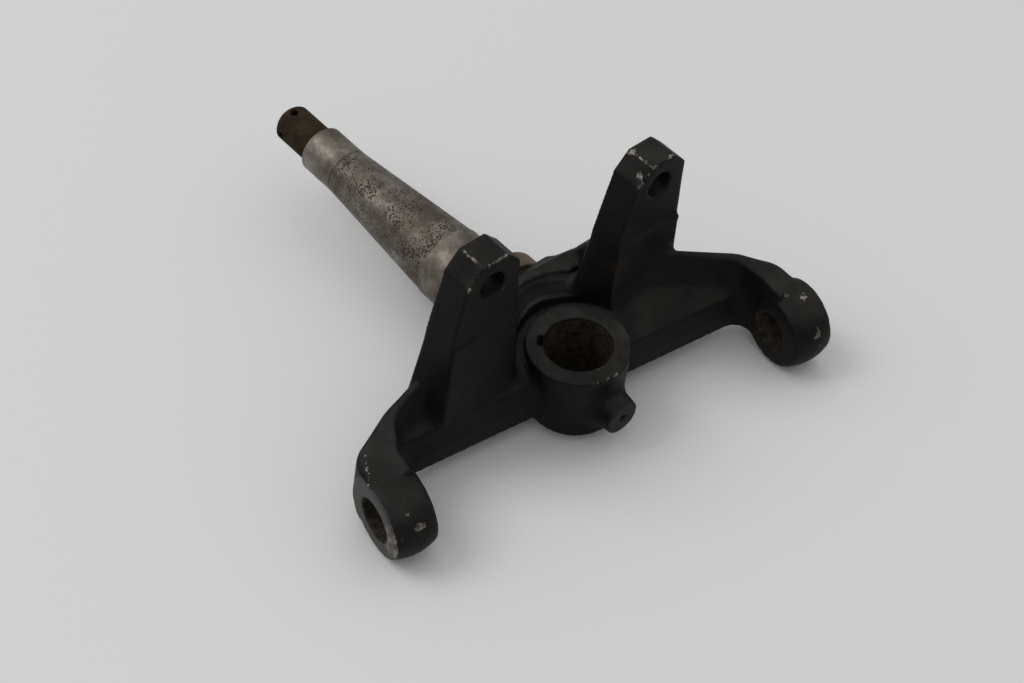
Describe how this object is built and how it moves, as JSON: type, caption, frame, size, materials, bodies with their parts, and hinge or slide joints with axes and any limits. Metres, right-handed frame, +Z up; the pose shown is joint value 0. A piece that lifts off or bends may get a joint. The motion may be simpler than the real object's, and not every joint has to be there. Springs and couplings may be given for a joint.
{
  "type": "steering knuckle",
  "caption": "Forged steering knuckle with a tapered stub axle, a keyed vertical bore, two caliper lugs and a yoke whose end bosses hold ball joint tapers.",
  "frame": {"origin": "where the stub axle's axis crosses the axis of the keyed bore", "axes": "+Y along the stub axle towards its threaded tip, +Z up along the keyed bore towards the lugs, +X towards the end boss of the lower ball joint"},
  "size_m": [0.2353, 0.2752, 0.1225],
  "materials": {
    "forged_steel": "black paint over a forged skin, chipped to bare metal along edges, with a bare turned stub axle"
  },
  "bodies": {
    "root": {"steering_knuckle": "forged_steel"}
  },
  "joints": []
}
